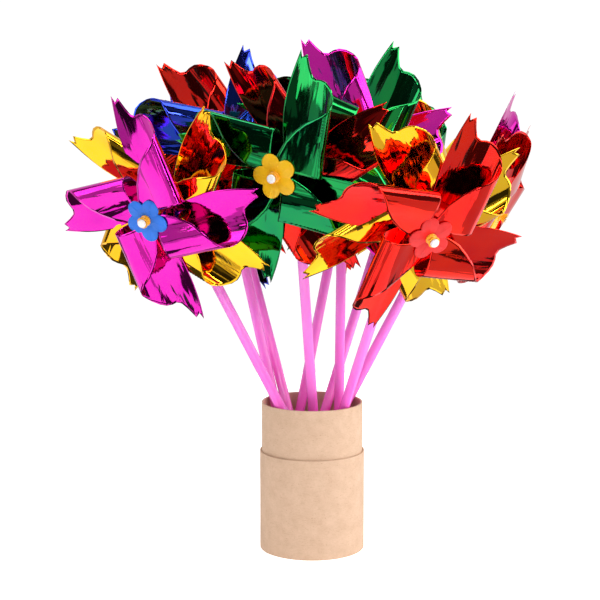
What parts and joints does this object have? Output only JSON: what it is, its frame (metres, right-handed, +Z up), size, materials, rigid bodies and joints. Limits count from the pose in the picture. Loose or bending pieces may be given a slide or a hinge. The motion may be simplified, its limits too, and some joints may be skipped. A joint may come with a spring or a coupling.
{
  "type": "pinwheel set in tube",
  "caption": "Foil pinwheels with two-layer curled blades, flower caps and straw sticks, standing fanned out in a stepped kraft paper tube.",
  "frame": {"origin": "centre of the tube's flat underside, on the table", "axes": "+Z up along the tube's axis; -Y towards the viewer the set faces; +X to that viewer's right"},
  "size_m": [0.3057, 0.2688, 0.3298],
  "materials": {
    "kraft_board": "matt rolled kraft paperboard",
    "kraft_base": "matt kraft board disc",
    "stick_pink": "glossy translucent pink straw",
    "pin_white": "glossy white moulded pin",
    "spool_yellow": "glossy yellow-orange moulding",
    "foil_magenta": "metallised foil film, mirror-like",
    "foil_red": "metallised foil film, mirror-like",
    "foil_gold": "metallised foil film, mirror-like",
    "foil_green": "metallised foil film, mirror-like",
    "foil_blue": "metallised foil film, mirror-like",
    "flower_blue": "satin plastic flower cap",
    "flower_yellow": "satin plastic flower cap",
    "flower_red": "satin plastic flower cap",
    "flower_magenta": "satin plastic flower cap"
  },
  "bodies": {
    "tube": {"tube_sleeve": "kraft_board", "tube_neck": "kraft_board", "tube_base": "kraft_base"},
    "pinwheel_01": {"stick_01": "stick_pink", "axle_pin_01": "pin_white"},
    "wheel_01": {"spool_01": "spool_yellow", "back_foil_01": "foil_gold", "front_foil_01": "foil_magenta", "flower_01": "flower_blue"},
    "pinwheel_02": {"stick_02": "stick_pink", "axle_pin_02": "pin_white"},
    "wheel_02": {"spool_02": "spool_yellow", "back_foil_02": "foil_red", "front_foil_02": "foil_green", "flower_02": "flower_yellow"},
    "pinwheel_03": {"stick_03": "stick_pink", "axle_pin_03": "pin_white"},
    "wheel_03": {"spool_03": "spool_yellow", "back_foil_03": "foil_gold", "front_foil_03": "foil_red", "flower_03": "flower_red"},
    "pinwheel_04": {"stick_04": "stick_pink", "axle_pin_04": "pin_white"},
    "wheel_04": {"spool_04": "spool_yellow", "back_foil_04": "foil_magenta", "front_foil_04": "foil_green", "flower_04": "flower_yellow"},
    "pinwheel_05": {"stick_05": "stick_pink", "axle_pin_05": "pin_white"},
    "wheel_05": {"spool_05": "spool_yellow", "back_foil_05": "foil_magenta", "front_foil_05": "foil_red", "flower_05": "flower_yellow"},
    "pinwheel_06": {"stick_06": "stick_pink", "axle_pin_06": "pin_white"},
    "wheel_06": {"spool_06": "spool_yellow", "back_foil_06": "foil_gold", "front_foil_06": "foil_blue", "flower_06": "flower_red"},
    "pinwheel_07": {"stick_07": "stick_pink", "axle_pin_07": "pin_white"},
    "wheel_07": {"spool_07": "spool_yellow", "back_foil_07": "foil_red", "front_foil_07": "foil_blue", "flower_07": "flower_yellow"},
    "pinwheel_08": {"stick_08": "stick_pink", "axle_pin_08": "pin_white"},
    "wheel_08": {"spool_08": "spool_yellow", "back_foil_08": "foil_green", "front_foil_08": "foil_gold", "flower_08": "flower_blue"},
    "pinwheel_09": {"stick_09": "stick_pink", "axle_pin_09": "pin_white"},
    "wheel_09": {"spool_09": "spool_yellow", "back_foil_09": "foil_green", "front_foil_09": "foil_red", "flower_09": "flower_magenta"}
  },
  "joints": [
    {"name": "lift_01", "type": "slide", "parent": "tube", "child": "pinwheel_01", "axis": [-0.4394, -0.1325, 0.8885], "range_m": [0, 0.11]},
    {"name": "spin_01", "type": "hinge", "parent": "pinwheel_01", "child": "wheel_01", "pos_m": [-0.08688, -0.03844, 0.23135], "axis": [-0.4311, -0.8366, -0.338], "continuous": true},
    {"name": "lift_02", "type": "slide", "parent": "tube", "child": "pinwheel_02", "axis": [-0.0674, -0.2023, 0.977], "range_m": [0, 0.11]},
    {"name": "spin_02", "type": "hinge", "parent": "pinwheel_02", "child": "wheel_02", "pos_m": [-0.01036, -0.046, 0.25401], "axis": [-0.4016, -0.8909, -0.2122], "continuous": true},
    {"name": "lift_03", "type": "slide", "parent": "tube", "child": "pinwheel_03", "axis": [0.2355, -0.4153, 0.8787], "range_m": [0, 0.11]},
    {"name": "spin_03", "type": "hinge", "parent": "pinwheel_03", "child": "wheel_03", "pos_m": [0.05577, -0.08072, 0.22884], "axis": [0.371, -0.7972, -0.4763], "continuous": true},
    {"name": "lift_04", "type": "slide", "parent": "tube", "child": "pinwheel_04", "axis": [0.0112, -0.0005, 0.9999], "range_m": [0, 0.11]},
    {"name": "spin_04", "type": "hinge", "parent": "pinwheel_04", "child": "wheel_04", "pos_m": [0.01929, 0.00428, 0.25988], "axis": [0.0871, -0.9962, -0.0015], "continuous": true},
    {"name": "lift_05", "type": "slide", "parent": "tube", "child": "pinwheel_05", "axis": [0.4557, -0.0114, 0.8901], "range_m": [0, 0.11]},
    {"name": "spin_05", "type": "hinge", "parent": "pinwheel_05", "child": "wheel_05", "pos_m": [0.09371, 0.01033, 0.23175], "axis": [0.857, -0.2645, -0.4422], "continuous": true},
    {"name": "lift_06", "type": "slide", "parent": "tube", "child": "pinwheel_06", "axis": [-0.2497, 0.3546, 0.9011], "range_m": [0, 0.11]},
    {"name": "spin_06", "type": "hinge", "parent": "pinwheel_06", "child": "wheel_06", "pos_m": [-0.05574, 0.06558, 0.23457], "axis": [-0.5631, 0.7039, -0.4331], "continuous": true},
    {"name": "lift_07", "type": "slide", "parent": "tube", "child": "pinwheel_07", "axis": [-0.2177, 0.1209, 0.9685], "range_m": [0, 0.11]},
    {"name": "spin_07", "type": "hinge", "parent": "pinwheel_07", "child": "wheel_07", "pos_m": [-0.05972, 0.03095, 0.25184], "axis": [0.091, -0.9855, 0.1435], "continuous": true},
    {"name": "lift_08", "type": "slide", "parent": "tube", "child": "pinwheel_08", "axis": [0.3001, 0.3537, 0.8859], "range_m": [0, 0.11]},
    {"name": "spin_08", "type": "hinge", "parent": "pinwheel_08", "child": "wheel_08", "pos_m": [0.05728, 0.07417, 0.23069], "axis": [0.7825, -0.6224, -0.0165], "continuous": true},
    {"name": "lift_09", "type": "slide", "parent": "tube", "child": "pinwheel_09", "axis": [0.1945, 0.2393, 0.9513], "range_m": [0, 0.11]},
    {"name": "spin_09", "type": "hinge", "parent": "pinwheel_09", "child": "wheel_09", "pos_m": [0.02504, 0.06474, 0.24742], "axis": [-0.5384, 0.8367, -0.1004], "continuous": true}
  ]
}
